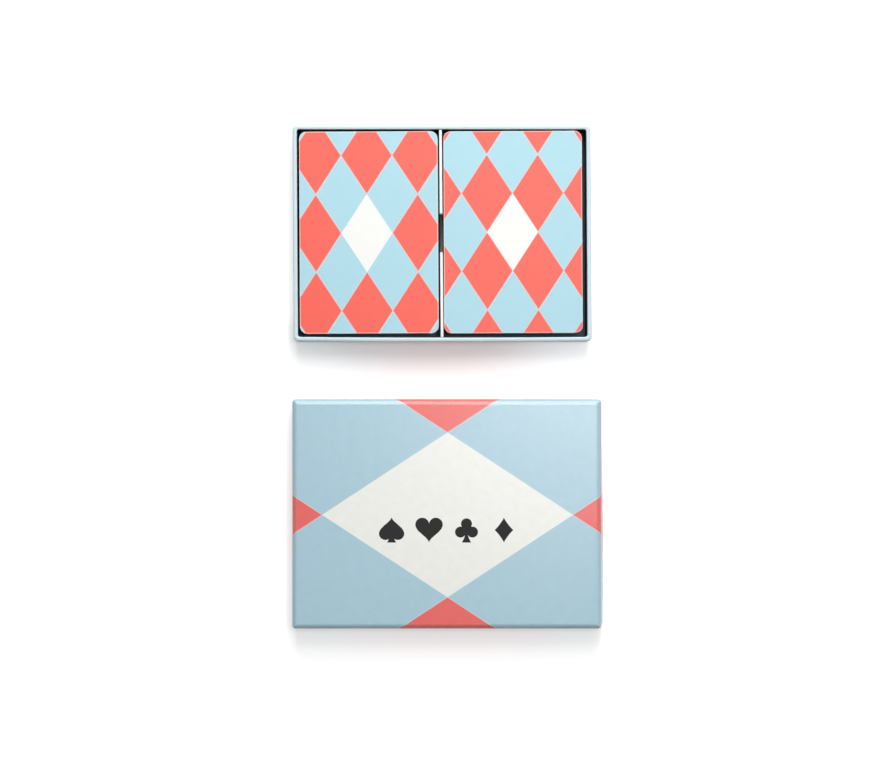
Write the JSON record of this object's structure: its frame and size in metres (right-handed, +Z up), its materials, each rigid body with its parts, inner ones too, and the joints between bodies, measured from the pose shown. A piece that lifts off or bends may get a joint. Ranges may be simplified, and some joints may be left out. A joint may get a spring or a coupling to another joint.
{
  "type": "playing card set",
  "caption": "Two decks of playing cards lying backs up in a divided board tray with a thumb notch, with the box's lift-off lid lying in front of it.",
  "frame": {"origin": "on the table, under the middle of the box round the tray and the lid", "axes": "+X to the right along the tray's long side, +Y from the lid towards the tray, +Z up"},
  "size_m": [0.1366, 0.2224, 0.0204],
  "materials": {
    "greyboard": "raw greyboard",
    "gummed_tape": "matt kraft",
    "pale_blue_paper": "matt uncoated",
    "printed_paper": "linen embossed, matt",
    "black_paper": "matt",
    "black_card": "matt, white core",
    "left_card_stock": "linen, satin varnish",
    "right_card_stock": "linen, satin varnish"
  },
  "bodies": {
    "tray": {"tray_floor_board": "greyboard", "tray_wall_boards": "greyboard", "tray_corner_stays": "gummed_tape", "tray_wrap": "pale_blue_paper", "tray_liner": "black_paper", "left_insert": "black_card", "right_insert": "black_card"},
    "lid": {"lid_top_board": "greyboard", "lid_wall_boards": "greyboard", "lid_corner_stays": "gummed_tape", "lid_wrap": "printed_paper", "lid_liner": "black_paper"},
    "left_jokers": {"left_jokers": "left_card_stock"},
    "left_spades": {"left_spade_courts": "left_card_stock", "left_spade_numbers": "left_card_stock"},
    "left_diamonds": {"left_diamond_courts": "left_card_stock", "left_diamond_numbers": "left_card_stock"},
    "left_clubs": {"left_club_courts": "left_card_stock", "left_club_numbers": "left_card_stock"},
    "left_hearts": {"left_heart_king": "left_card_stock", "left_heart_queen": "left_card_stock", "left_heart_jack": "left_card_stock", "left_heart_ten": "left_card_stock", "left_heart_nine": "left_card_stock", "left_heart_eight": "left_card_stock", "left_heart_seven": "left_card_stock", "left_heart_six": "left_card_stock", "left_heart_five": "left_card_stock", "left_heart_four": "left_card_stock", "left_heart_three": "left_card_stock", "left_heart_two": "left_card_stock"},
    "left_top_card": {"left_heart_ace": "left_card_stock"},
    "right_jokers": {"right_jokers": "right_card_stock"},
    "right_spades": {"right_spade_courts": "right_card_stock", "right_spade_numbers": "right_card_stock"},
    "right_diamonds": {"right_diamond_courts": "right_card_stock", "right_diamond_numbers": "right_card_stock"},
    "right_clubs": {"right_club_courts": "right_card_stock", "right_club_numbers": "right_card_stock"},
    "right_hearts": {"right_heart_king": "right_card_stock", "right_heart_queen": "right_card_stock", "right_heart_jack": "right_card_stock", "right_heart_ten": "right_card_stock", "right_heart_nine": "right_card_stock", "right_heart_eight": "right_card_stock", "right_heart_seven": "right_card_stock", "right_heart_six": "right_card_stock", "right_heart_five": "right_card_stock", "right_heart_four": "right_card_stock", "right_heart_three": "right_card_stock", "right_heart_two": "right_card_stock"},
    "right_top_card": {"right_heart_ace": "right_card_stock"}
  },
  "joints": [
    {"name": "lid_lift", "type": "slide", "parent": "tray", "child": "lid", "axis": [0, 0, 1], "range_m": [0, 0.04]},
    {"name": "left_deck_lift", "type": "slide", "parent": "tray", "child": "left_jokers", "axis": [0, 0, 1], "range_m": [0, 0.03]},
    {"name": "left_spades_lift", "type": "slide", "parent": "left_jokers", "child": "left_spades", "axis": [0, 0, 1], "range_m": [0, 0.015]},
    {"name": "left_diamonds_lift", "type": "slide", "parent": "left_spades", "child": "left_diamonds", "axis": [0, 0, 1], "range_m": [0, 0.015]},
    {"name": "left_clubs_lift", "type": "slide", "parent": "left_diamonds", "child": "left_clubs", "axis": [0, 0, 1], "range_m": [0, 0.015]},
    {"name": "left_hearts_lift", "type": "slide", "parent": "left_clubs", "child": "left_hearts", "axis": [0, 0, 1], "range_m": [0, 0.015]},
    {"name": "left_top_card_deal", "type": "slide", "parent": "left_hearts", "child": "left_top_card", "axis": [-1, 0, 0], "range_m": [0, 0.03]},
    {"name": "right_deck_lift", "type": "slide", "parent": "tray", "child": "right_jokers", "axis": [0, 0, 1], "range_m": [0, 0.03]},
    {"name": "right_spades_lift", "type": "slide", "parent": "right_jokers", "child": "right_spades", "axis": [0, 0, 1], "range_m": [0, 0.015]},
    {"name": "right_diamonds_lift", "type": "slide", "parent": "right_spades", "child": "right_diamonds", "axis": [0, 0, 1], "range_m": [0, 0.015]},
    {"name": "right_clubs_lift", "type": "slide", "parent": "right_diamonds", "child": "right_clubs", "axis": [0, 0, 1], "range_m": [0, 0.015]},
    {"name": "right_hearts_lift", "type": "slide", "parent": "right_clubs", "child": "right_hearts", "axis": [0, 0, 1], "range_m": [0, 0.015]},
    {"name": "right_top_card_deal", "type": "slide", "parent": "right_hearts", "child": "right_top_card", "axis": [1, 0, 0], "range_m": [0, 0.03]}
  ]
}
